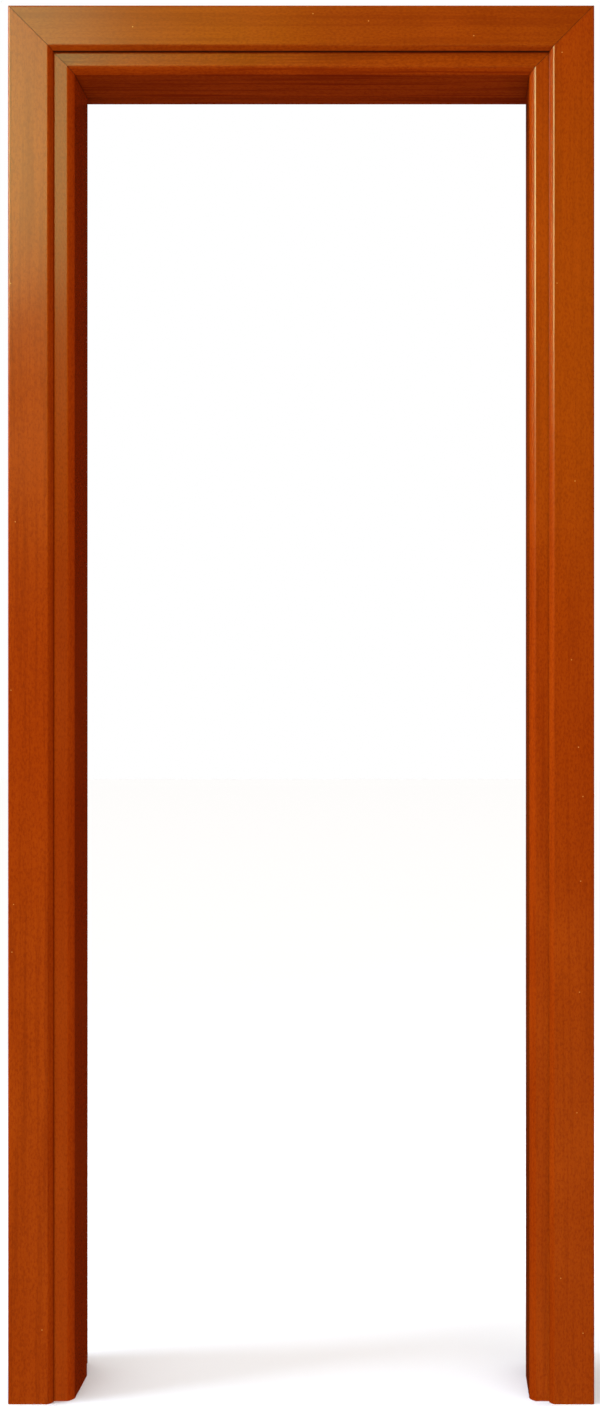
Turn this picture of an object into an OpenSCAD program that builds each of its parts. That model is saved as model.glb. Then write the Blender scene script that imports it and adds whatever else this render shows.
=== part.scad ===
// Timber door frame for one rebated leaf. A mitred lining goes through the wall, and a mitred set of
// architraves covers each wall face. The leaf closes in a rebate at the rear, against a rubber seal.
// Profiles are drawn in two coordinates: u runs outwards from the clear opening, v runs through the
// wall from front (negative) to rear (positive). The origin is at floor level, in the middle of the
// opening and of the wall. +X is to the right seen from the front, +Y runs to the rear, +Z is up.

/* [Door leaf] */
// Width of the leaf
leaf_w = 700; // [600:10:1000]
// Height of the leaf
leaf_h = 2000; // [1900:10:2200]
// Thickness of the leaf
leaf_t = 40; // [36:1:50]
// Gap between the leaf and the frame at the sides and top
leaf_gap = 3; // [2:0.5:5]
// Gap between the leaf and the floor
floor_gap = 5; // [3:1:12]

/* [Lining] */
// Depth of the lining, which is the thickness of the wall
wall_t = 130; // [120:5:250]
// Thickness of the lining
lining_t = 40; // [36:1:50]
// How far the stop stands in from the rebate
stop_step = 10; // [10:0.5:15]
// Width of the bowed corner along the front of the stop
stop_bow_w = 9.5; // [6:0.5:12]
// Radius of that bow
stop_bow_r = 14; // [12.5:0.5:30]
// Radius of the small rounded edges
arris_r = 2; // [1:0.25:2.5]
// Width of the relief channels along the back
channel_w = 6; // [4:1:10]
// Depth of the relief channels
channel_d = 2.5; // [1:0.5:3]

/* [Architraves] */
// Width of an architrave
arch_w = 67; // [58:1:110]
// Thickness of an architrave
arch_t = 10; // [9.5:0.5:16]
// How far an architrave laps over the edge of the lining
arch_lap = 11; // [10.5:0.5:16]
// Width of the bowed corner along the inner edge
arch_bow_w = 7.5; // [5:0.5:8]
// Radius of that bow
arch_bow_r = 11; // [8.5:0.5:20]
// Radius of the outer edge
arch_edge_r = 3; // [1:0.5:6]
// Side of the small step that leaves a dark line beside the lining
quirk = 1.2; // [0.6:0.1:1.4]
// Thickness of the tongue
tongue_t = 5; // [4:0.5:6]
// Length of the tongue
tongue_len = 14; // [8:1:16]
// Wood left between the tongue's groove and the back of the lining
tongue_lip = 3; // [2.5:0.5:4]
// Depth of the hollow along the back
hollow_d = 1; // [0.5:0.25:2]

/* [Seal] */
// Space for the squeezed seal between the leaf and the stop
seal_space = 5; // [4:0.5:7]
// Width of the seal
seal_w = 7; // [6:0.5:8]
// How far the relaxed seal stands out of the stop
seal_h = 6; // [5:0.5:8]
// Wall of the seal
seal_wall = 1; // [0.8:0.1:1.4]
// Thickness of the seal's stem
stem_t = 2.6; // [2:0.2:3]
// Length of the seal's stem
stem_len = 6.5; // [5:0.5:8]
// Height of the seal's lower end above the floor
seal_foot = 3; // [2:1:8]

/* [Corner joints] */
// Diameter of a dowel
dowel_d = 8; // [6:1:10]
// Length of a dowel
dowel_len = 30; // [24:1:34]
// Distance of a dowel from the front or rear face of the stop
dowel_in = 25; // [24:1:28]
// Diameter of a corner screw
screw_d = 5; // [4:0.5:6]
// Length of a corner screw
screw_len = 70; // [50:5:90]
// Diameter of a screw head
screw_head_d = 9.4; // [8:0.2:10]
// Diameter of the round ends of an architrave connector
bone_d = 16; // [12:1:18]
// Distance between the round ends
bone_pitch = 28; // [24:1:32]
// Width of the connector's neck
bone_neck = 8; // [6:1:10]
// Thickness of the connector
bone_t = 4.6; // [3:0.2:5]

/* [Wall fixings] */
// Diameter of the fixing holes
fix_d = 6.5; // [5:0.5:8]
// Diameter of their countersinks
fix_head_d = 12; // [10:0.5:14]
// Distance between neighbouring fixing holes
fix_pitch = 530; // [440:10:560]

/* [Fits] */
// Clearance round whatever sits in a groove, hole or pocket
clear = 0.2; // [0.1:0.05:0.3]

/* [Hidden] */
$fn = 96;
cut = 1;
wood = "#A2460C";
raw_wood = "#C79A5B";
zinc = "#D9C98A";
black_rubber = "#1E1B19";
nylon = "#D8D4C8";

// Opening, rebate and wall faces
light_w = leaf_w + 2 * leaf_gap - 2 * stop_step;
light_h = leaf_h + leaf_gap + floor_gap - stop_step;
half_w = light_w / 2;
front = -wall_t / 2;
rear = wall_t / 2;
rebate_d = leaf_t + seal_space;
stop_end = rear - rebate_d;
reveal = lining_t - arch_lap;
reach = reveal + arch_w + cut;

// Tongue and groove of the architraves
tongue_u = lining_t - tongue_lip - tongue_t / 2;
groove_w = tongue_t + 2 * clear;
groove_d = tongue_len + cut;
hollow_margin = 6;
hollow_u = lining_t + hollow_margin;
hollow_w = reveal + arch_w - hollow_margin - hollow_u;

// Seal and its kerf
seal_side_gap = 0.5;
seal_u = stop_step - seal_side_gap - seal_w / 2;
seal_shoulder = seal_h - seal_w / 2;
barb = 0.35;
barb_count = 3;
kerf_w = stem_t + 2 * (barb + clear);
kerf_d = stem_len + cut;

// Places of the corner joints and of the wall fixings
dowel_v = [front + dowel_in, stop_end - dowel_in];
rebate_mid_v = (stop_end + rear - groove_d) / 2;
screw_v = [(dowel_v[0] + dowel_v[1]) / 2, rebate_mid_v];
mitre_mid = lining_t / 2;
screw_up = (stop_step + lining_t) / 2;
screw_sink = 0.5;
screw_head_h = (screw_head_d - screw_d) / 2;
screw_tip = 1.2 * screw_d;
fix_count = 4;
fix_sink = (fix_head_d - fix_d) / 2;
dowel_chamfer = 1;
flute_r = 0.5;
flute_count = 8;
cross_l = 0.55 * screw_head_d;
cross_w = 1.1;
cross_d = 1.8;
bone_mid = reveal + arch_w / 2;
bone_seat = bone_t + hollow_d + clear;

// What is cut off a square corner at [0, 0] to leave a quarter round
module round_cut(r) {
    difference() {
        translate([-cut, -cut]) square(r + cut);
        translate([r, r]) circle(r);
    }
}

// What is cut off a square corner at [0, 0] to leave a bowed chamfer with a crease at each side
module bow_cut(w, r) {
    centre = (w + sqrt(2 * r * r - w * w)) / 2;
    difference() {
        translate([-cut, -cut]) square(w + cut);
        translate([centre, centre]) circle(r);
    }
}

module lining_profile() {
    difference() {
        union() {
            translate([0, front]) square([lining_t, stop_end - front]);
            translate([stop_step, front]) square([lining_t - stop_step, wall_t]);
        }
        translate([0, front]) bow_cut(stop_bow_w, stop_bow_r);
        translate([0, stop_end]) mirror([0, 1]) round_cut(arris_r);
        translate([stop_step, rear]) mirror([0, 1]) round_cut(arris_r);
        translate([tongue_u - groove_w / 2, front - cut]) square([groove_w, groove_d + cut]);
        translate([tongue_u - groove_w / 2, rear - groove_d]) square([groove_w, groove_d + cut]);
        translate([seal_u - kerf_w / 2, stop_end - kerf_d]) square([kerf_w, kerf_d + cut]);
        for (v = dowel_v)
            translate([lining_t - channel_d, v - channel_w / 2]) square([channel_d + cut, channel_w]);
    }
}

// Profile of a front architrave; a rear one is its mirror image
module architrave_profile() {
    difference() {
        union() {
            translate([reveal, front - arch_t]) square([arch_w, arch_t]);
            translate([tongue_u - tongue_t / 2, front - cut]) square([tongue_t, tongue_len + cut]);
        }
        translate([reveal, front - arch_t]) bow_cut(arch_bow_w, arch_bow_r);
        translate([reveal + arch_w, front - arch_t]) mirror([1, 0]) round_cut(arch_edge_r);
        translate([reveal - cut, front - quirk]) square([quirk + cut, quirk + cut]);
        translate([hollow_u, front - hollow_d]) square([hollow_w, hollow_d + cut]);
    }
}

// A round top on straight sides, down to this base line
module bulb(r, base) {
    intersection() {
        union() {
            translate([0, seal_shoulder]) circle(r);
            translate([-r, 0]) square([2 * r, seal_shoulder]);
        }
        translate([-r, base]) square([2 * r, seal_h + cut]);
    }
}

// A hollow bulb on a flat base, and a barbed stem that goes into the kerf
module seal_profile() {
    side = [
        [stem_t / 2, seal_wall / 2],
        for (i = [1 : barb_count], step = [[0, 0], [barb, 0], [0, -2 * barb]])
            [stem_t / 2 + step[0], step[1] - i * stem_len / (barb_count + 1)],
        [stem_t / 2, -stem_len]
    ];
    difference() {
        union() {
            bulb(seal_w / 2, 0);
            polygon([
                for (p = side) [-p[0], p[1]],
                for (i = [len(side) - 1 : -1 : 0]) side[i]
            ]);
        }
        bulb(seal_w / 2 - seal_wall, seal_wall);
    }
}

// A solid with this outline in the elevation, right through the wall
module through_wall(outline) {
    depth = wall_t + 2 * arch_t + 2 * cut;
    translate([0, depth / 2, 0]) rotate([90, 0, 0]) linear_extrude(depth) polygon(outline);
}

// The right side member that has this profile, from the foot up to its mitre
module side_member(foot = 0) {
    intersection() {
        translate([half_w, 0, foot]) linear_extrude(light_h + reach - foot) children();
        through_wall([
            [half_w - cut, -cut], [half_w + reach, -cut],
            [half_w + reach, light_h + reach], [half_w - cut, light_h - cut]
        ]);
    }
}

// The head member that has this profile, with a mitre at both ends
module head_member() {
    intersection() {
        translate([half_w + reach, 0, light_h])
            rotate([0, -90, 0]) linear_extrude(light_w + 2 * reach) children();
        through_wall([
            [cut - half_w, light_h - cut], [half_w - cut, light_h - cut],
            [half_w + reach, light_h + reach], [-half_w - reach, light_h + reach]
        ]);
    }
}

module on_left() mirror([1, 0, 0]) children();

// On the mitre of the right corner, with Z square to the mitre
module on_mitre(v, up) translate([half_w + up, v, light_h + up]) rotate([0, -45, 0]) children();

// At the outer face of the right jamb, with Z into the wood
module at_screw(v) translate([half_w + lining_t, v, light_h + screw_up]) rotate([0, -90, 0]) children();

module dowel_hole(v) {
    length = dowel_len + 2 * cut;
    on_mitre(v, mitre_mid) translate([0, 0, -length / 2]) cylinder(h = length, d = dowel_d + 2 * clear);
}

module screw_hole(v) {
    wide = screw_head_d / 2 + clear;
    narrow = screw_d / 2 + clear;
    at_screw(v) {
        translate([0, 0, -cut]) cylinder(h = screw_sink + cut, r = wide);
        translate([0, 0, screw_sink]) cylinder(h = wide - narrow, r1 = wide, r2 = narrow);
        cylinder(h = screw_len + cut, r = narrow);
    }
}

module corner_holes() {
    for (v = dowel_v) dowel_hole(v);
    for (v = screw_v) screw_hole(v);
}

// Countersunk holes through the rebate, evenly spaced about the middle of the opening
module wall_fixing_holes() {
    for (i = [0 : fix_count - 1])
        translate([half_w + stop_step, rebate_mid_v, light_h / 2 + (i - (fix_count - 1) / 2) * fix_pitch])
            rotate([0, 90, 0]) {
                translate([0, 0, -cut]) cylinder(h = lining_t + cut, d = fix_d);
                translate([0, 0, -cut]) cylinder(h = 2 * cut, d = fix_head_d);
                translate([0, 0, cut]) cylinder(h = fix_sink, d1 = fix_head_d, d2 = fix_d);
            }
}

module jamb() {
    color(wood) difference() {
        side_member() lining_profile();
        corner_holes();
        wall_fixing_holes();
    }
}

module head_lining() {
    color(wood) difference() {
        head_member() lining_profile();
        corner_holes();
        on_left() corner_holes();
    }
}

// A flat key with round ends across the mitre, on the bottom of its pocket
module bone(grow) {
    height = grow > 0 ? bone_seat + cut : bone_t;
    on_mitre(front, bone_mid) translate([0, -bone_seat, 0]) rotate([-90, 0, 0]) {
        for (side = [-1, 1])
            translate([0, side * bone_pitch / 2, 0]) cylinder(h = height, d = bone_d + 2 * grow);
        translate([-bone_neck / 2 - grow, -bone_pitch / 2, 0])
            cube([bone_neck + 2 * grow, bone_pitch, height]);
    }
}

module architrave_side() {
    color(wood) difference() {
        side_member() architrave_profile();
        bone(clear);
    }
}

module architrave_head() {
    color(wood) difference() {
        head_member() architrave_profile();
        bone(clear);
        on_left() bone(clear);
    }
}

module connector() color(nylon) bone(0);

module on_rear() mirror([0, 1, 0]) children();

module seal_place() translate([seal_u, stop_end]) seal_profile();

module seal_side() color(black_rubber) side_member(seal_foot) seal_place();

module seal_head() color(black_rubber) head_member() seal_place();

// A fluted dowel with chamfered ends, half in each member
module dowel(v) {
    r = dowel_d / 2;
    color(raw_wood) on_mitre(v, mitre_mid) difference() {
        union() {
            translate([0, 0, -dowel_len / 2]) cylinder(h = dowel_chamfer, r1 = r - dowel_chamfer, r2 = r);
            translate([0, 0, dowel_chamfer - dowel_len / 2]) cylinder(h = dowel_len - 2 * dowel_chamfer, r = r);
            translate([0, 0, dowel_len / 2 - dowel_chamfer])
                cylinder(h = dowel_chamfer, r1 = r, r2 = r - dowel_chamfer);
        }
        for (i = [0 : flute_count - 1])
            rotate(i * 360 / flute_count) translate([r, 0, -dowel_len / 2 - cut])
                cylinder(h = dowel_len + 2 * cut, r = flute_r, $fn = 24);
    }
}

// A countersunk screw with a cross recess, driven through the jamb into the end of the head lining
module corner_screw(v) {
    r = screw_d / 2;
    head_r = screw_head_d / 2;
    color(zinc) at_screw(v) difference() {
        rotate_extrude() polygon([
            [0, screw_sink], [head_r, screw_sink], [r, screw_sink + screw_head_h],
            [r, screw_len - screw_tip], [0, screw_len]
        ]);
        for (turn = [0, 90])
            rotate(turn) translate([-cross_l / 2, -cross_w / 2, screw_sink - cut])
                cube([cross_l, cross_w, cross_d + cut]);
    }
}

on_left() jamb();  // jamb_left
jamb();  // jamb_right
head_lining();
on_left() architrave_side();  // front_architrave_left
architrave_side();  // front_architrave_right
architrave_head();  // front_architrave_head
on_rear() on_left() architrave_side();  // rear_architrave_left
on_rear() architrave_side();  // rear_architrave_right
on_rear() architrave_head();  // rear_architrave_head
on_left() seal_side();  // seal_left
seal_side();  // seal_right
seal_head();
on_left() dowel(dowel_v[0]);  // dowel_left_front
on_left() dowel(dowel_v[1]);  // dowel_left_rear
dowel(dowel_v[0]);  // dowel_right_front
dowel(dowel_v[1]);  // dowel_right_rear
on_left() corner_screw(screw_v[0]);  // corner_screw_left_front
on_left() corner_screw(screw_v[1]);  // corner_screw_left_rear
corner_screw(screw_v[0]);  // corner_screw_right_front
corner_screw(screw_v[1]);  // corner_screw_right_rear
on_left() connector();  // connector_front_left
connector();  // connector_front_right
on_rear() on_left() connector();  // connector_rear_left
on_rear() connector();  // connector_rear_right
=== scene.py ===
# %% [markdown]
# # A mitred timber door frame
#
# The object is an empty door frame: a lining that goes through the wall, and an architrave on each wall
# face. Every length is one moulded stick of stained and lacquered wood, cut to 45 degrees at the top
# corners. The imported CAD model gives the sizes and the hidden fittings. Here the sticks are modelled
# again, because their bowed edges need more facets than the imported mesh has, and every surface gets a
# finish.

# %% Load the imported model
import math

import bpy
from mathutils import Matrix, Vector


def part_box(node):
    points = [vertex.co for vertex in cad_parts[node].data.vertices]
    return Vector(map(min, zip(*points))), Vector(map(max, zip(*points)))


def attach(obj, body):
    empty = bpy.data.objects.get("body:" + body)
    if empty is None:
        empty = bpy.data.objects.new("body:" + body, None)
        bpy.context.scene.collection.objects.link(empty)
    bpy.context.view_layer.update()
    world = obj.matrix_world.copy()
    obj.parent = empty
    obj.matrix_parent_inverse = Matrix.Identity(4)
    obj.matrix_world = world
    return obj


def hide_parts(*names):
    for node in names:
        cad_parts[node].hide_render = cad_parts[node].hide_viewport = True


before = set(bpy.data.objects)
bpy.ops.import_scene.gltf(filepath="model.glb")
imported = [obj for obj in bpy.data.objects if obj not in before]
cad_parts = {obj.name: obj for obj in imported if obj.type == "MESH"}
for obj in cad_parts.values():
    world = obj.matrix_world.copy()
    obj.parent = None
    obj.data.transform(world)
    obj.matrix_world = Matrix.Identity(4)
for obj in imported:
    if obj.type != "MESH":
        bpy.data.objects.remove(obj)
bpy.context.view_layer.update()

# %% [markdown]
# ## Sizes
#
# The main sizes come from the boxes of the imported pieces. Others are joiner's sizes in millimetres, set
# where they are first needed. A profile is described in two coordinates, as a joiner would draw it on
# paper: `u` runs outwards from the clear opening, and `v` runs through the wall, from the front face to
# the rear one.

# %% Measure the frame
MM = 0.001
jamb_low, jamb_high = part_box("jamb_right")
arch_low, arch_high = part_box("front_architrave_right")
seal_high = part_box("seal_right")[1]
half_w = jamb_low.x
lining_t = jamb_high.x - jamb_low.x
wall_t = jamb_high.y - jamb_low.y
front, rear = jamb_low.y, jamb_high.y
light_h = jamb_high.z - lining_t
arch_t = front - arch_low.y
reveal = arch_low.x - half_w
arch_w = arch_high.x - arch_low.x
tongue_len = arch_high.y - front
print(f"clear opening {2 * half_w / MM:.0f} x {light_h / MM:.0f} mm, architrave {arch_w / MM:.0f} mm wide")

# %% [markdown]
# ## Camera
#
# The photograph looks straight at the wall from a little right of the middle, at about chest height, with
# a lens that is not tilted: both jambs stay upright in the picture. So the camera looks along +Y, and the
# lens shift puts the frame where the photograph has it, as an architect's camera does.

# %% Set up the camera
PHOTO_W, PHOTO_H = 600, 1406
FOCAL_PX = 1385
CENTRE_PX = (426, 736)
SENSOR = 36
bpy.ops.object.select_all(action="DESELECT")
bpy.ops.object.camera_add(location=(0.187, -2.147, 1.0), rotation=(math.radians(90), 0, 0))
camera = bpy.context.object
camera.data.sensor_width = SENSOR
camera.data.lens = SENSOR * FOCAL_PX / PHOTO_H
camera.data.shift_x = (PHOTO_W / 2 - CENTRE_PX[0]) / PHOTO_H
camera.data.shift_y = (CENTRE_PX[1] - PHOTO_H / 2) / PHOTO_H
bpy.context.scene.camera = camera
print(f"lens {camera.data.lens:.1f} mm, shift {camera.data.shift_x:.3f}, {camera.data.shift_y:.3f}")

# %% [markdown]
# ## Floor
#
# The frame stands on a plain pale floor. The wood neither mirrors the floor nor takes its colour, and the
# floor lets the key light through, which comes from slightly below. What a pale floor throws back is a
# part of that light.

# %% Lay the floor
FLOOR_SIZE = 60
FLOOR_GREY = 0.93
bpy.ops.mesh.primitive_plane_add(size=FLOOR_SIZE, location=(0, 0, 0))
floor = bpy.context.object
floor.name = "floor"
floor.visible_diffuse = False
floor.visible_glossy = False
floor.visible_shadow = False
floor_mat = bpy.data.materials.new("pale_floor")
floor_mat.use_nodes = True
floor_shader = floor_mat.node_tree.nodes["Principled BSDF"]
floor_shader.inputs["Base Color"].default_value = (FLOOR_GREY, FLOOR_GREY, FLOOR_GREY, 1)
floor_shader.inputs["Roughness"].default_value = 0.8
floor_shader.inputs["Specular IOR Level"].default_value = 0.2
floor.data.materials.append(floor_mat)

# %% [markdown]
# ## Lights that colour the wood
#
# The key light is a very soft sun from straight in front. It lights both architraves evenly from top to
# bottom and reaches a little of the bow under the head. A second sun from above whitens the floor. A low
# side window lights the inner face of the right jamb and leaves that of the left one in shade. The
# lacquer mirrors none of the three.

# %% Light the wood
KEY_FROM = Vector((-0.06, -0.93, -0.36))
KEY_DISTANCE = 5


def lamp(kind, name, place, facing, power, tint):
    """A light at place that shines along facing."""
    bpy.ops.object.light_add(type=kind, location=place)
    made = bpy.context.object
    made.name = name
    made.rotation_euler = Vector(facing).to_track_quat("-Z", "Y").to_euler()
    made.data.energy = power
    made.data.color = tint
    return made


def panel(name, place, target, size, power, tint):
    """A rectangular light at place, turned to face target."""
    made = lamp("AREA", name, place, Vector(target) - Vector(place), power, tint)
    made.data.shape = "RECTANGLE"
    made.data.size, made.data.size_y = size
    return made


key_light = lamp("SUN", "soft_key", KEY_FROM * KEY_DISTANCE, -KEY_FROM, 1.50, (1.0, 0.97, 0.94))
key_light.data.angle = math.radians(35)
overhead = lamp("SUN", "soft_overhead", (0, 0, 5), (0, 0, -1), 2.6, (0.74, 0.98, 1.0))
overhead.data.angle = math.radians(30)
side_window = panel("window_side", (-3.2, -0.58, 2.9), (0.35, 0, 1.5), (1.1, 1.3), 44, (0.72, 0.85, 1.0))
side_window.data.spread = math.radians(80)
for light in (key_light, overhead, side_window):
    light.visible_glossy = False
print("lights that the lacquer does not mirror: 3")

# %% [markdown]
# ## Lights that the lacquer mirrors
#
# These only make highlights. One window draws the pale streaks along the creases of the right jamb, which
# fade where its lower edge ends. One puts the haze on the top left corner, a narrow one carries it on
# along the head, and a wide dim one behind the camera lifts the upper part of the right jamb.

# %% Hang the windows
mirrored = {
    "window_edges": ((-2.5, -2.6, 3.3), (0.45, 0, 2.6), (1.1, 1.5), 330, (0.27, 0.45, 0.90)),
    "window_left": ((-1.6, -2.2, 3.0), (-1.6, 0, 3.0), (1.5, 1.2), 80, (0.12, 0.38, 0.78)),
    "window_middle": ((-0.62, -2.2, 3.15), (-0.62, 0, 3.15), (0.8, 0.7), 3.2, (1.0, 0.9, 0.15)),
    "panel_behind": ((0.6, -5.0, 3.1), (0.3, 0, 1.8), (6.0, 2.2), 36, (1.0, 0.85, 0.10)),
}
for name, settings in mirrored.items():
    panel(name, *settings).visible_diffuse = False
print("lights that only the lacquer mirrors:", len(mirrored))

# %% [markdown]
# ## Sky
#
# The sky is white to the camera only. To the wood it is dimmer and a little red, which fills the shade
# softly, and the lacquer sees black, so the wood keeps its deep colour. Light paths tell the three apart.

# %% Set the sky
SKY_TINT, SKY_STRENGTH = (1.0, 0.60, 0.54), 0.54
world = bpy.data.worlds.new("studio")
bpy.context.scene.world = world
world.use_nodes = True
sky = world.node_tree
sky.nodes.clear()


def backdrop(tint, strength):
    """A plain background of the sky."""
    made = sky.nodes.new("ShaderNodeBackground")
    made.inputs["Color"].default_value = (*tint, 1)
    made.inputs["Strength"].default_value = strength
    return made.outputs[0]


def choose(factor, first, second):
    """Mixes two backgrounds of the sky."""
    mix = sky.nodes.new("ShaderNodeMixShader")
    for socket, source in zip(mix.inputs, (factor, first, second)):
        sky.links.new(source, socket)
    return mix.outputs[0]


ray = sky.nodes.new("ShaderNodeLightPath")
unseen = choose(ray.outputs["Is Glossy Ray"], backdrop(SKY_TINT, SKY_STRENGTH), backdrop((0, 0, 0), 1))
seen = choose(ray.outputs["Is Camera Ray"], unseen, backdrop((1, 1, 1), 1))
sky.links.new(seen, sky.nodes.new("ShaderNodeOutputWorld").inputs["Surface"])
bpy.context.scene.view_settings.view_transform = "Standard"
print("sky strength on the wood:", SKY_STRENGTH)

# %% [markdown]
# ## One stick of moulding
#
# A moulding is the same section all along, so the section is made first and then pulled out to the full
# length. The section starts as a flat rectangle. It is bisected along the sides of every groove, the
# waste is deleted, and what is left is dissolved into one face. Its corners are then bevelled in the
# flat, which is exact and quick: a bevel with a profile of 0.5 is a quarter round, one of 0.25 is a
# straight chamfer, and the bow of this moulding lies between them.

# %% Make sections
NEAR = 0.01 * MM


def edit(action, **options):
    """Runs one edit-mode operator on the active object's current selection."""
    bpy.ops.object.mode_set(mode="EDIT")
    getattr(bpy.ops.mesh, action)(**options)
    bpy.ops.object.mode_set(mode="OBJECT")


def select(obj, kind, wanted):
    """Selects only those vertices, edges or faces of obj for which wanted(part) is true."""
    mode = {"vertices": "VERT", "edges": "EDGE", "polygons": "FACE"}[kind]
    bpy.ops.object.mode_set(mode="EDIT")
    bpy.ops.mesh.select_mode(type=mode)
    bpy.ops.mesh.select_all(action="DESELECT")
    bpy.ops.object.mode_set(mode="OBJECT")
    for part in getattr(obj.data, kind):
        part.select = bool(wanted(part))


def select_all(obj):
    """Selects the whole mesh of obj."""
    bpy.ops.object.mode_set(mode="EDIT")
    bpy.ops.mesh.select_mode(type="VERT")
    bpy.ops.mesh.select_all(action="SELECT")
    bpy.ops.object.mode_set(mode="OBJECT")


def only(obj):
    """Makes obj the one selected and active object."""
    bpy.ops.object.select_all(action="DESELECT")
    obj.select_set(True)
    bpy.context.view_layer.objects.active = obj


def section(name, low, high, waste, corners):
    """A flat section between two corners, less the waste rectangles, with bevelled corners."""
    bpy.ops.object.select_all(action="DESELECT")
    middle = [(a + b) / 2 for a, b in zip(low, high)]
    bpy.ops.mesh.primitive_plane_add(size=1, location=(*middle, 0))
    obj = bpy.context.object
    obj.name = name
    obj.scale = (high[0] - low[0], high[1] - low[1], 1)
    bpy.ops.object.transform_apply(location=True, rotation=True, scale=True)
    for axis in (0, 1):
        lines = {r[corner][axis] for r in waste for corner in (0, 1)}
        for line in sorted(v for v in lines if low[axis] < v < high[axis]):
            point, normal = [0, 0, 0], [0, 0, 0]
            point[axis], normal[axis] = line, 1
            select_all(obj)
            edit("bisect", plane_co=point, plane_no=normal)
    inside = lambda p, r: all(r[0][i] < p.center[i] < r[1][i] for i in (0, 1))
    select(obj, "polygons", lambda p: any(inside(p, r) for r in waste))
    edit("delete", type="FACE")
    select_all(obj)
    edit("dissolve_limited", angle_limit=math.radians(1))
    for place, width, steps, profile in corners:
        select(obj, "vertices", lambda v: (v.co.xy - Vector(place)).length < NEAR)
        edit("bevel", offset=width, offset_type="OFFSET", segments=steps, profile=profile, affect="VERTICES")
    print(f"{name}: section with {len(obj.data.vertices)} points")
    return obj

# %% [markdown]
# ## The two profiles
#
# The lining has a bowed front corner, a step down to the rebate with a groove for the seal, a groove at each
# face for the tongue of an architrave, and two shallow channels on its back, which keep it from cupping. The
# architrave is bowed on its inner edge and rounded on the outer one. It has a tongue, a hollow back, so that
# it lies flat on the wall, and a small quirk beside the lining, whose faces are later painted near-black as
# the shade of the step. A bow starts with a soft crease, and that is what catches the light of the window.

# %% Draw the profiles
FAR = 1
BOW, ROUND = 0.35, 0.5
BOW_L, BOW_A = 9.5 * MM, 7.5 * MM
BOW_STEPS, CREASE_STEPS = 10, 4
CREASE = 0.8 * MM
ARRIS, OUTER_EDGE = 2 * MM, 3 * MM
clearance = 0.2 * MM
stop_step = 10 * MM
seal_h = 6 * MM
stop_end = seal_high.y - seal_h
tongue_u = (32 * MM, 37 * MM)
groove_d = tongue_len + 1 * MM
kerf_u, kerf_d = (4.15 * MM, 7.85 * MM), 7.5 * MM
channel_inset, channel_half, channel_d = 25 * MM, 3 * MM, 2.5 * MM
channel_v = (front + channel_inset, stop_end - channel_inset)
hollow_rim, hollow_d = 6 * MM, 1 * MM
hollow_u = (lining_t + hollow_rim, reveal + arch_w - hollow_rim)
quirk = 1.2 * MM

lining_waste = [
    ((-FAR, stop_end), (stop_step, FAR)),
    ((tongue_u[0] - clearance, -FAR), (tongue_u[1] + clearance, front + groove_d)),
    ((tongue_u[0] - clearance, rear - groove_d), (tongue_u[1] + clearance, FAR)),
    ((kerf_u[0], stop_end - kerf_d), (kerf_u[1], stop_end)),
    *(((lining_t - channel_d, v - channel_half), (FAR, v + channel_half)) for v in channel_v),
]
lining_corners = [
    ((0, front), BOW_L, BOW_STEPS, BOW),
    ((BOW_L, front), CREASE, CREASE_STEPS, ROUND),
    ((0, stop_end), ARRIS, 5, ROUND),
    ((stop_step, rear), ARRIS, 5, ROUND),
]
arch_waste = [
    ((-FAR, front), (tongue_u[0], FAR)),
    ((tongue_u[1], front), (FAR, FAR)),
    ((-FAR, front - quirk), (reveal + quirk, front)),
    ((hollow_u[0], front - hollow_d), (hollow_u[1], front)),
]
arch_corners = [
    ((reveal, front - arch_t), BOW_A, BOW_STEPS, BOW),
    ((reveal + BOW_A, front - arch_t), CREASE, CREASE_STEPS, ROUND),
    ((reveal + arch_w, front - arch_t), OUTER_EDGE, 8, ROUND),
]


def lining_section(name):
    return section(name, (0, front), (lining_t, rear), lining_waste, lining_corners)


def arch_section(name):
    low, high = (reveal, front - arch_t), (reveal + arch_w, front + tongue_len)
    return section(name, low, high, arch_waste, arch_corners)


print(f"stop ends {(stop_end - front) / MM:.0f} mm behind the front face of the lining")

# %% [markdown]
# ## From section to mitred stick
#
# The section is extruded to more than the full length, and one bisect at 45 degrees cuts the mitre and
# fills it. The cut edges get a chamfer of a third of a millimetre, which is what sanding leaves: it draws
# the joint as a hairline. Every stick is made for the right or the head at the front, and scaled by -1
# where it belongs elsewhere.

# %% Make sticks
MITRE_EASE = 0.35 * MM
OVERCUT = 20 * MM


def mirror(obj, left, at_rear):
    """Turns a right front piece into a left or a rear one."""
    only(obj)
    obj.scale = (-1 if left else 1, -1 if at_rear else 1, 1)
    bpy.ops.object.transform_apply(location=True, rotation=True, scale=True)
    select_all(obj)
    edit("normals_make_consistent", inside=False)


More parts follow.
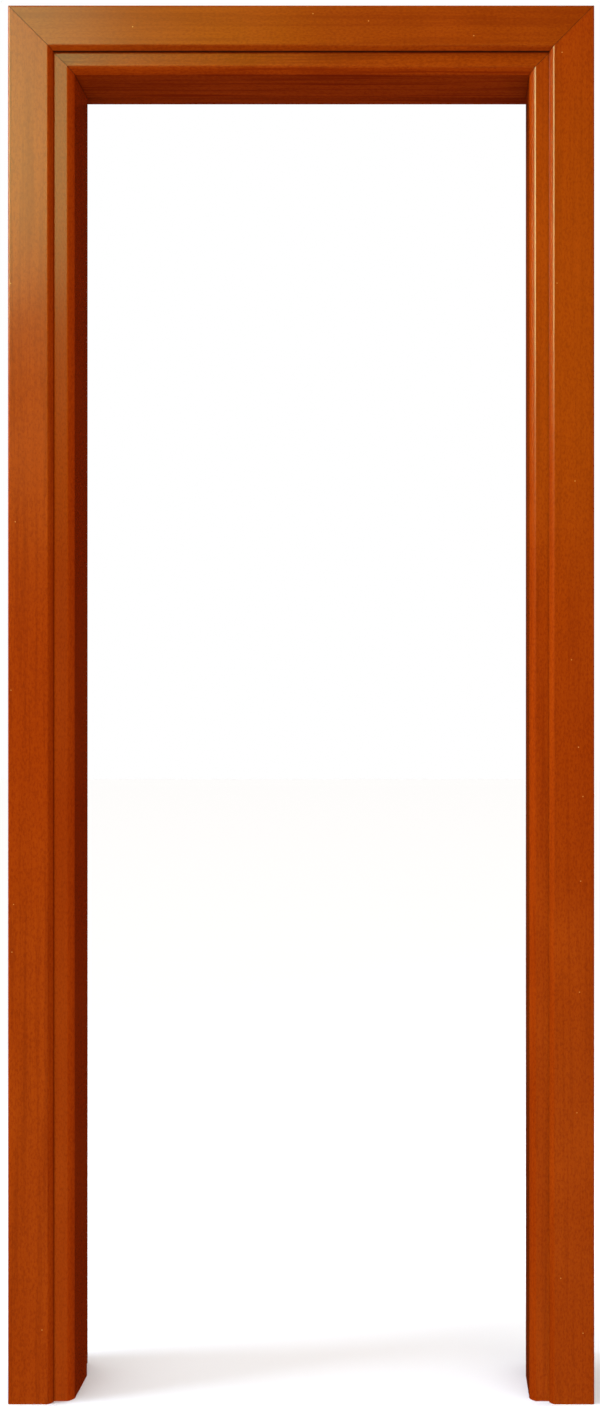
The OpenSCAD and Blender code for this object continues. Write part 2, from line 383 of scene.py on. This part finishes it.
def stick(name, make, head=False, left=False, at_rear=False, foot=0, mitred=True):
    """A length of the moulding whose section is make(name). A cutter has no mitres, and runs on past them."""
    obj = make(name)
    reach = reveal + arch_w + OVERCUT
    length = 2 * (half_w + reach) if head else light_h + reach
    select_all(obj)
    edit("extrude_region_move", TRANSFORM_OT_translate={"value": (0, 0, length)})
    only(obj)
    if head:
        obj.rotation_euler = (0, math.radians(-90), 0)
        obj.location = (half_w + reach, 0, light_h)
    else:
        obj.location = (half_w, 0, foot)
    bpy.ops.object.transform_apply(location=True, rotation=True, scale=True)
    ends = () if not mitred else ((1, 1), (-1, 1)) if head else ((1, -1),)
    for side, keep in ends:
        normal = Vector((side, 0, -1)).normalized() * keep
        corner = Vector((side * half_w, 0, light_h))
        select_all(obj)
        edit("bisect", plane_co=corner, plane_no=normal, clear_outer=True, use_fill=True)
        off_cut = lambda i: abs((obj.data.vertices[i].co - corner).dot(normal))
        select(obj, "edges", lambda e: all(off_cut(i) < NEAR for i in e.vertices))
        edit("bevel", offset=MITRE_EASE, segments=1, affect="EDGES", clamp_overlap=True)
    mirror(obj, left, at_rear)
    return obj

# %% [markdown]
# ## The nine sticks
#
# Three lengths of lining and six of architrave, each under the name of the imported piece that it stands
# for.

# %% Cut the nine sticks
sticks = {
    "jamb_right": stick("right_jamb_stick", lining_section),
    "jamb_left": stick("left_jamb_stick", lining_section, left=True),
    "head_lining": stick("head_stick", lining_section, head=True),
}
for face, behind in (("front", False), ("rear", True)):
    for place in ("left", "right", "head"):
        sticks[f"{face}_architrave_{place}"] = stick(
            f"{face}_casing_{place}", arch_section, head=place == "head", left=place == "left", at_rear=behind
        )
print("sticks made:", len(sticks))

# %% [markdown]
# ## Holes and pockets
#
# Holes are cut with turned solids. A lathe could be copied with a screw modifier, but a circle that is
# extruded and resized from ring to ring gives the same solid, closed and with clean ends. Exact booleans
# then take it out.

# %% Make turned solids and cut with them
ROUND_STEPS = 48
OVER = 1 * MM
MITRE = Vector((-1, 0, 1)).normalized()


def turned(name, rings, place, axis):
    """A solid turned from (height, radius) rings, with its height along axis from place."""
    bpy.ops.object.select_all(action="DESELECT")
    bpy.ops.mesh.primitive_circle_add(
        vertices=ROUND_STEPS, radius=rings[0][1], fill_type="NGON", location=(0, 0, rings[0][0])
    )
    obj = bpy.context.object
    obj.name = name
    bpy.ops.object.transform_apply(location=True, rotation=True, scale=True)
    select_all(obj)
    for (low, before), (high, after) in zip(rings, rings[1:]):
        edit("extrude_region_move", TRANSFORM_OT_translate={"value": (0, 0, high - low)})
        bpy.ops.object.mode_set(mode="EDIT")
        bpy.ops.transform.resize(value=(after / before, after / before, 1), center_override=(0, 0, high))
        bpy.ops.object.mode_set(mode="OBJECT")
    only(obj)
    obj.rotation_euler = Vector(axis).to_track_quat("Z", "Y").to_euler()
    obj.location = place
    mirror(obj, False, False)
    return obj


def combine(obj, other, how="DIFFERENCE"):
    """Cuts other out of obj, or unites them, and removes other."""
    only(obj)
    bpy.ops.object.modifier_add(type="BOOLEAN")
    modifier = obj.modifiers[-1]
    modifier.object, modifier.operation, modifier.solver = other, how, "EXACT"
    bpy.ops.object.modifier_apply(modifier=modifier.name)
    bpy.data.objects.remove(other)


def join(parts):
    """Joins objects into the first of them."""
    bpy.ops.object.select_all(action="DESELECT")
    for part in parts:
        part.select_set(True)
    bpy.context.view_layer.objects.active = parts[0]
    bpy.ops.object.join()
    return parts[0]

# %% [markdown]
# ## Where the joiner drills
#
# The joiner drills the lining before it is put together: dowel holes square to the mitres, countersunk
# holes for the corner screws, and countersunk holes along the rebate for the screws into the wall. On
# their backs the architraves have a pocket for the flat key that pulls each mitre shut. Every cutter is
# made for the right front corner and mirrored from there.

# %% Make the cutters
FIXINGS = 4
dowel_r, dowel_len = 4 * MM, 30 * MM
screw_r, screw_head_r, screw_len = 2.5 * MM, 4.7 * MM, 70 * MM
screw_sink = 0.5 * MM
screw_z = light_h + (stop_step + lining_t) / 2
rebate_mid = (stop_end + rear - groove_d) / 2
screw_v = ((channel_v[0] + channel_v[1]) / 2, rebate_mid)
fixing_r, fixing_head_r, fixing_pitch = 3.25 * MM, 6 * MM, 530 * MM
key_r, key_neck, key_pitch, key_t = 8 * MM, 8 * MM, 28 * MM, 4.6 * MM
key_mid = reveal + arch_w / 2
key_seat = key_t + hollow_d + clearance


def dowel_place(v):
    return (half_w + lining_t / 2, v, light_h + lining_t / 2)


def screw_place(v):
    return (half_w + lining_t, v, screw_z)


def corner_cutters(left):
    """The dowel and screw holes of one corner of the lining."""
    half = dowel_len / 2 + OVER
    wide, narrow = screw_head_r + clearance, screw_r + clearance
    cutters = [
        turned("cutter", [(-half, dowel_r + clearance), (half, dowel_r + clearance)], dowel_place(v), MITRE)
        for v in channel_v
    ]
    rings = [
        (-OVER, wide), (screw_sink, wide),
        (screw_sink + wide - narrow, narrow), (screw_len + OVER, narrow),
    ]
    cutters += [turned("cutter", rings, screw_place(v), (-1, 0, 0)) for v in screw_v]
    for cutter in cutters:
        mirror(cutter, left, False)
    return cutters


def fixing_cutters(left):
    """The countersunk holes along one rebate."""
    rings = [
        (-OVER, fixing_head_r), (OVER, fixing_head_r),
        (OVER + fixing_head_r - fixing_r, fixing_r), (lining_t, fixing_r),
    ]
    cutters = []
    for number in range(FIXINGS):
        height = light_h / 2 + (number - (FIXINGS - 1) / 2) * fixing_pitch
        place = (half_w + stop_step, rebate_mid, height)
        cutters.append(turned("cutter", rings, place, (1, 0, 0)))
        mirror(cutters[-1], left, False)
    return cutters


def key(name, grow, height):
    """A flat key with round ends across the right front mitre, or its pocket where grow is over 0."""
    centre = Vector((half_w + key_mid, front - key_seat, light_h + key_mid))
    ends = [centre + side * MITRE * key_pitch / 2 for side in (-1, 1)]
    rings = [(0, key_r + grow), (height, key_r + grow)]
    obj, other = (turned(name, rings, end, (0, 1, 0)) for end in ends)
    combine(obj, other, "UNION")
    bpy.ops.object.select_all(action="DESELECT")
    bpy.ops.mesh.primitive_cube_add(
        size=1, location=centre + Vector((0, height / 2, 0)), rotation=(0, math.radians(-45), 0)
    )
    neck = bpy.context.object
    neck.scale = (key_neck + 2 * grow, height, key_pitch)
    bpy.ops.object.transform_apply(location=True, rotation=True, scale=True)
    combine(obj, neck, "UNION")
    obj.name = name
    return obj


print(f"fixing holes every {fixing_pitch / MM:.0f} mm, keys {(key_pitch + 2 * key_r) / MM:.0f} mm long")

# %% [markdown]
# ## Drilling
#
# All cutters of one jamb are joined first, because one boolean is quicker than eight and gives the same
# result.

# %% Drill the lining and sink the pockets
for side, left in (("left", True), ("right", False)):
    combine(sticks[f"jamb_{side}"], join(corner_cutters(left) + fixing_cutters(left)))
    combine(sticks["head_lining"], join(corner_cutters(left)))
    for face, behind in (("front", False), ("rear", True)):
        for place in (side, "head"):
            pocket = key("cutter", clearance, key_seat + OVER)
            mirror(pocket, left, behind)
            combine(sticks[f"{face}_architrave_{place}"], pocket)
print("faces after drilling:", {node: len(obj.data.polygons) for node, obj in sticks.items()})

# %% [markdown]
# ## Seal
#
# The seal is a stick of rubber moulding that is cut on the same mitre planes: a bulb on a stem, with a
# hollow that is open at the feet. The stem sits in the groove of the rebate, and the leaf presses on the
# bulb.

# %% Make the seals
SEAL_FOOT = 3 * MM
BULB_STEPS, BULB_FLAT = 12, 0.05 * MM
seal_u, seal_wall = (2.5 * MM, 9.5 * MM), 1 * MM
stem_u, stem_len = (4.7 * MM, 7.3 * MM), 6.5 * MM


def seal_section(name):
    low, high = (seal_u[0], stop_end - stem_len), (seal_u[1], stop_end + seal_h)
    waste = [((-FAR, -FAR), (stem_u[0], stop_end)), ((stem_u[1], -FAR), (FAR, stop_end))]
    bulb = (seal_u[1] - seal_u[0]) / 2 - BULB_FLAT
    return section(name, low, high, waste, [((u, high[1]), bulb, BULB_STEPS, ROUND) for u in seal_u])


def core_section(name):
    low = (seal_u[0] + seal_wall, stop_end + seal_wall)
    high = (seal_u[1] - seal_wall, stop_end + seal_h - seal_wall)
    bulb = (high[0] - low[0]) / 2 - BULB_FLAT
    return section(name, low, high, [], [((u, high[1]), bulb, BULB_STEPS, ROUND) for u in (low[0], high[0])])


fittings = {}
for place in ("left", "right", "head"):
    where = {"head": place == "head", "left": place == "left"}
    seal = stick(f"rubber_{place}", seal_section, foot=SEAL_FOOT, **where)
    combine(seal, stick("core", core_section, mitred=False, **where))
    fittings[f"seal_{place}"] = seal

print("seals made:", len(fittings))

# %% [markdown]
# ## Dowels, screws and keys
#
# The dowels are fluted, so that glue can escape, and the screws have a cross recess. Each is a turned
# solid with plain cutters taken out. The key is the solid that also sank its own pocket, less the
# clearance.

# %% Make dowels, screws and keys
DOWEL_CHAMFER = 1 * MM
FLUTE_R, FLUTES = 0.5 * MM, 8
CROSS_LENGTH, CROSS_WIDTH, CROSS_DEPTH = 5.17 * MM, 1.1 * MM, 1.8 * MM
SCREW_TIP = 6 * MM


def dowel(name, v):
    """A fluted dowel across the right mitre."""
    end, slim = dowel_len / 2, dowel_r - DOWEL_CHAMFER
    rings = [(-end, slim), (DOWEL_CHAMFER - end, dowel_r), (end - DOWEL_CHAMFER, dowel_r), (end, slim)]
    obj = turned(name, rings, dowel_place(v), MITRE)
    across = MITRE.cross((0, 1, 0))
    flutes, reach = [], end + OVER
    for number in range(FLUTES):
        angle = math.tau * number / FLUTES
        out = Vector((0, math.cos(angle), 0)) + across * math.sin(angle)
        place = Vector(dowel_place(v)) + out * dowel_r
        flutes.append(turned("cutter", [(-reach, FLUTE_R), (reach, FLUTE_R)], place, MITRE))
    combine(obj, join(flutes))
    return obj


def corner_screw(name, v):
    """A countersunk screw with a cross recess, driven through the right jamb."""
    rings = [
        (screw_sink, screw_head_r), (screw_sink + screw_head_r - screw_r, screw_r),
        (screw_len - SCREW_TIP, screw_r), (screw_len, 0.1 * MM),
    ]
    obj = turned(name, rings, screw_place(v), (-1, 0, 0))
    for turn in (0, 90):
        bpy.ops.object.select_all(action="DESELECT")
        depth = CROSS_DEPTH + OVER
        place = (half_w + lining_t - screw_sink + OVER - depth / 2, v, screw_z)
        bpy.ops.mesh.primitive_cube_add(size=1, location=place, rotation=(math.radians(turn), 0, 0))
        slot = bpy.context.object
        slot.scale = (depth, CROSS_WIDTH, CROSS_LENGTH)
        bpy.ops.object.transform_apply(location=True, rotation=True, scale=True)
        combine(obj, slot)
    return obj


for side, left in (("left", True), ("right", False)):
    for place, dowel_at, screw_at in zip(("front", "rear"), channel_v, screw_v):
        fittings[f"dowel_{side}_{place}"] = dowel(f"fluted_dowel_{side}_{place}", dowel_at)
        fittings[f"corner_screw_{side}_{place}"] = corner_screw(f"cross_screw_{side}_{place}", screw_at)
        fittings[f"connector_{place}_{side}"] = key(f"key_{place}_{side}", 0, key_t)
        for kind in (f"dowel_{side}_{place}", f"corner_screw_{side}_{place}"):
            mirror(fittings[kind], left, False)
        mirror(fittings[f"connector_{place}_{side}"], left, place == "rear")
print("fittings made:", len(fittings))

# %% [markdown]
# ## Smooth edges on flat boards
#
# The bevelled edges should shade as curves while the wide faces stay dead flat. Smoothing by angle joins
# the facets of an edge, and a weighted normal modifier makes the wide faces win where they meet, so
# nothing looks pillowy.

# %% Shade the sticks
SMOOTH_ANGLE = math.radians(24)


def shade(obj):
    """Curved edges smooth, wide faces flat."""
    only(obj)
    bpy.ops.object.shade_smooth_by_angle(angle=SMOOTH_ANGLE)
    bpy.ops.object.modifier_add(type="WEIGHTED_NORMAL")
    modifier = obj.modifiers[-1]
    modifier.weight = 100
    modifier.keep_sharp = True
    bpy.ops.object.modifier_apply(modifier=modifier.name)


for obj in (*sticks.values(), *fittings.values()):
    shade(obj)

# %% [markdown]
# ## Stained and lacquered wood
#
# The wood is stained a deep orange-brown, and a satin lacquer lies over it. Its colour is built in layers
# that all run along the grain: broad soft bands of darker heartwood, fine streaks, short dark flecks and
# tiny pores. A slow cloud, which has no direction, is the uneven uptake of the stain. First come the
# small tools that wire such layers together.

# %% Make the shader tools
def add(tree, kind, settings=(), **inputs):
    """Adds a shader node, and sets or links its inputs by name, with _ for a space."""
    made = tree.nodes.new("ShaderNode" + kind)
    for key, value in dict(settings).items():
        setattr(made, key, value)
    for name, value in inputs.items():
        socket = made.inputs[name.replace("_", " ")]
        if isinstance(value, bpy.types.NodeSocket):
            tree.links.new(value, socket)
        else:
            socket.default_value = value
    return made


def pattern(tree, along_x, across_rate, along_rate, offset, **noise):
    """Noise with this many cells a metre across and along the grain, as a value."""
    place = add(tree, "TexCoord").outputs["Object"]
    rates = (along_rate, across_rate, across_rate) if along_x else (across_rate, across_rate, along_rate)
    mapped = add(tree, "Mapping", Vector=place, Scale=rates, Location=offset).outputs[0]
    return add(tree, "TexNoise", Vector=mapped, Scale=1.0, **noise).outputs["Fac"]


def ramp(tree, value, low, high, to_low=0.0, to_high=1.0):
    """Stretches value from low..high to to_low..to_high, smoothly and clamped."""
    made = add(tree, "MapRange", {"interpolation_type": "SMOOTHSTEP"}, Value=value)
    for name, number in zip(("From Min", "From Max", "To Min", "To Max"), (low, high, to_low, to_high)):
        made.inputs[name].default_value = number
    return made.outputs[0]


def blend(tree, factor, first, second):
    """Mixes two colours."""
    return add(tree, "MixRGB", Fac=factor, Color1=first, Color2=second).outputs[0]


def new_material(name):
    """A material, its node tree and its shader."""
    material = bpy.data.materials.new(name)
    material.use_nodes = True
    return material, material.node_tree, material.node_tree.nodes["Principled BSDF"]

# %% [markdown]
# ## One board, one finish
#
# The sticks of one frame come from different boards, so each one takes its pattern from another place in
# the noise, and two numbers make it browner or more figured. The photograph also shows small pale spots,
# filler or dust, on the front of the architraves. The tint of the specular keeps the highlights of the
# orange lacquer warm.

# %% Build up the wood finish
MID = Vector((0.345, 0.041, 0.0008))
BROWN = Vector((0.270, 0.046, 0.0010))
DARK = (0.200, 0.019, 0.0005, 1)
LIGHT = (0.43, 0.070, 0.0020, 1)
SPECK = (0.75, 0.38, 0.10, 1)
SPECKS_A_METRE = 8.5
SPECK_R = 1.1 * MM
LACQUER_TINT = (1.0, 0.80, 0.14, 1)


def specks(tree, offset):
    """Small pale spots on the foremost face, one to each cell of a plan of it, as a factor."""
    place = add(tree, "TexCoord").outputs["Object"]
    turned_up = add(tree, "Mapping", Vector=place, Rotation=(math.pi / 2, 0, 0), Location=offset).outputs[0]
    cells = add(tree, "TexVoronoi", {"voronoi_dimensions": "2D"}, Vector=turned_up, Scale=SPECKS_A_METRE)
    reach = SPECK_R * SPECKS_A_METRE
    dots = ramp(tree, cells.outputs["Distance"], reach, reach * 0.5, 0, 0.7)
    depth = add(tree, "SeparateXYZ", Vector=place).outputs["Y"]
    in_front = ramp(tree, depth, front - arch_t + 0.2 * MM, front - arch_t + 0.1 * MM)
    return blend(tree, in_front, (0, 0, 0, 1), dots)


def lacquered_wood(name, along_x, offset, brown=0.0, figure=0.3):
    """Stained, lacquered wood with its grain along X or Z. brown and figure tell boards apart."""
    material, tree, shader = new_material(name)
    bands = pattern(tree, along_x, 30, 0.7, offset, Detail=3.0, Distortion=0.4)
    streaks = pattern(tree, along_x, 150, 3.0, offset, Detail=4.0, Roughness=0.65)
    flecks = pattern(tree, along_x, 420, 200, offset, Detail=3.0, Roughness=0.6)
    pores = pattern(tree, along_x, 1500, 110, offset, Detail=1.0)
    clouds = pattern(tree, along_x, 7, 5, offset, Detail=2.0)
    colour = (*MID.lerp(BROWN, brown), 1)
    colour = blend(tree, ramp(tree, bands, 0.42, 0.72, 0, figure), colour, DARK)
    colour = blend(tree, ramp(tree, clouds, 0.40, 0.75, 0, 0.35), colour, LIGHT)
    colour = blend(tree, ramp(tree, flecks, 0.54, 0.30, 0, 0.25), colour, LIGHT)
    colour = blend(tree, ramp(tree, streaks, 0.46, 0.66, 0, 0.1 + figure), colour, DARK)
    colour = blend(tree, ramp(tree, flecks, 0.47, 0.66, 0, 0.42), colour, DARK)
    colour = blend(tree, ramp(tree, pores, 0.60, 0.72, 0, 0.35), colour, DARK)
    colour = blend(tree, specks(tree, offset), colour, SPECK)
    tree.links.new(colour, shader.inputs["Base Color"])
    rough = ramp(tree, clouds, 0.3, 0.7, 0.21, 0.25)
    tree.links.new(rough, shader.inputs["Roughness"])
    shader.inputs["Specular Tint"].default_value = LACQUER_TINT
    relief = blend(tree, 0.35, streaks, pores)
    bump = add(tree, "Bump", Strength=0.12, Distance=0.0004, Height=relief)
    tree.links.new(bump.outputs[0], shader.inputs["Normal"])
    return material

# %% [markdown]
# ## Bare wood, rubber, steel and nylon
#
# The lacquer is sprayed on the faces that show. The backs, the grooves, the cut ends and the drilled
# holes are bare wood, a little dusty with stain. The other finishes are plain, each with some unevenness
# of its own.

# %% Make the other finishes
BARE = (0.42, 0.22, 0.085, 1)
BARE_DARK = (0.27, 0.12, 0.04, 1)


def bare_wood(name, along_x, offset):
    """Sawn wood without lacquer."""
    material, tree, shader = new_material(name)
    bands = pattern(tree, along_x, 30, 1.2, offset, Detail=3.0, Distortion=0.4)
    streaks = pattern(tree, along_x, 240, 6.0, offset, Detail=4.0, Roughness=0.7)
    pores = pattern(tree, along_x, 1300, 90, offset, Detail=1.0)
    colour = blend(tree, ramp(tree, bands, 0.35, 0.7, 0, 0.6), BARE, BARE_DARK)
    colour = blend(tree, ramp(tree, streaks, 0.45, 0.75, 0, 0.6), colour, BARE_DARK)
    colour = blend(tree, ramp(tree, pores, 0.60, 0.70, 0, 0.5), colour, BARE_DARK)
    tree.links.new(colour, shader.inputs["Base Color"])
    shader.inputs["Roughness"].default_value = 0.75
    bump = add(tree, "Bump", Strength=0.3, Distance=0.0005, Height=streaks)
    tree.links.new(bump.outputs[0], shader.inputs["Normal"])
    return material


def uneven(name, first, second, rate, roughness, metallic=0.0):
    """A finish that drifts between two colours, with slightly uneven gloss."""
    material, tree, shader = new_material(name)
    drift = pattern(tree, False, rate, rate, (0, 0, 0), Detail=4.0)
    tree.links.new(blend(tree, ramp(tree, drift, 0.3, 0.7), first, second), shader.inputs["Base Color"])
    gloss = ramp(tree, drift, 0.3, 0.7, roughness, roughness + 0.1)
    tree.links.new(gloss, shader.inputs["Roughness"])
    shader.inputs["Metallic"].default_value = metallic
    shader.inputs["Specular Tint"].default_value = (1.0, 0.80, 0.30, 1)
    return material


rubber = uneven("seal_rubber", (0.012, 0.010, 0.009, 1), (0.022, 0.019, 0.017, 1), 120, 0.55)
steel = uneven("zinc_steel", (0.62, 0.50, 0.26, 1), (0.50, 0.42, 0.25, 1), 400, 0.28, 1.0)
nylon = uneven("natural_nylon", (0.62, 0.60, 0.52, 1), (0.55, 0.53, 0.45, 1), 150, 0.42)
beech = bare_wood("dowel_beech", False, (9, 4, 2))

# %% [markdown]
# ## Dress every piece
#
# A face of a stick is lacquered if its place in the section is on a side that shows. All others are bare.
# The cut edges of the mitres hold the dark stain that gathers in joints: that draws the joints. The sides of
# the quirk get the same near-black as painted shade, which draws the step line. Under the head the painted
# shade reaches further and covers the end of the bow too.

# %% Give the finishes out
# HAIR allows for rounding, and the next number is how far the painted shade of the step climbs the bow under
# the head.
HAIR = 0.05 * MM
STEP_SHADE_REACH = 2.2 * MM
step_start = front - arch_t + BOW_A
# One near-black material serves as the dark stain in the mitre joints and as painted shade in the step beside
# the lining.
step_shade_and_joint_stain = uneven("painted_step_shade_and_joint_stain", (0.030, 0.003, 0.001, 1), (0.050, 0.006, 0.001, 1), 90, 0.85)


def shows_on_lining(u, v):
    strip = v < front + BOW_L + HAIR and u < tongue_u[0]
    stop = u < HAIR
    rebate = v > stop_end - ARRIS - 2 * HAIR and u < stop_step + HAIR
    back_edge = v > rear - ARRIS - 2 * HAIR and u < tongue_u[0]
    return strip or stop or rebate or back_edge


def shows_on_architrave(u, v):
    face = v < front - arch_t + HAIR
    inner_edge = u < reveal + BOW_A + CREASE + HAIR and v < front - HAIR
    outer_edge = u > reveal + arch_w - OUTER_EDGE - 2 * HAIR and v < front - HAIR
    return face or inner_edge or outer_edge


COMMON_LOOK = (0.2, 0.3)
BOARD_LOOKS = {
    "front_architrave_head": (0.9, 0.30),
    "rear_architrave_head": (0.9, 0.30),
    "head_lining": (0.6, 0.80),
    "jamb_left": (0.0, 0.05),
    "front_architrave_right": (0.3, 0.2),
}
for number, (node, obj) in enumerate(sticks.items()):
    board = (3.1 * number, 5.3 * number, 1.7 * number)
    level, of_casing = "head" in node, "architrave" in node
    obj.data.materials.clear()
    brown, figure = BOARD_LOOKS.get(node, COMMON_LOOK)
    obj.data.materials.append(lacquered_wood(f"lacquered_{obj.name}", level, board, brown, figure))
    obj.data.materials.append(bare_wood(f"bare_{obj.name}", level, board))
    obj.data.materials.append(step_shade_and_joint_stain)
    shows = shows_on_architrave if of_casing else shows_on_lining
    dark = STEP_SHADE_REACH if level else 0
    for face in obj.data.polygons:
        u = face.center.z - light_h if level else abs(face.center.x) - half_w
        v = -face.center.y if "rear" in node else face.center.y
        foot = not level and face.normal.z < -0.99
        face.material_index = 0 if shows(u, v) and not foot else 1
        off_mitre = abs(abs(face.center.x) - half_w - (face.center.z - light_h))
        in_joint = off_mitre < 2 * MITRE_EASE
        # Painted shade: the faces of the quirk, and under the head the end of the bow as well, get the
        # near-black material as the shadow of the step.
        in_painted_step_shade = of_casing and u < reveal + quirk + HAIR and step_start - dark < v < front
        if in_painted_step_shade or in_joint:
            face.material_index = 2
    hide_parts(node)
    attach(obj, "root")

finishes = {
    "seal": (rubber, "seal_rubber"), "dowel": (beech, "dowel_beech"),
    "corner": (steel, "screw_steel"), "connector": (nylon, "connector_nylon"),
}
for node, obj in fittings.items():
    finish, slot_name = finishes[node.split("_")[0]]
    obj.data.materials.clear()
    obj.data.materials.append(finish)
    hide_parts(node)
    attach(obj, "root")
print("pieces dressed:", len(sticks) + len(fittings))
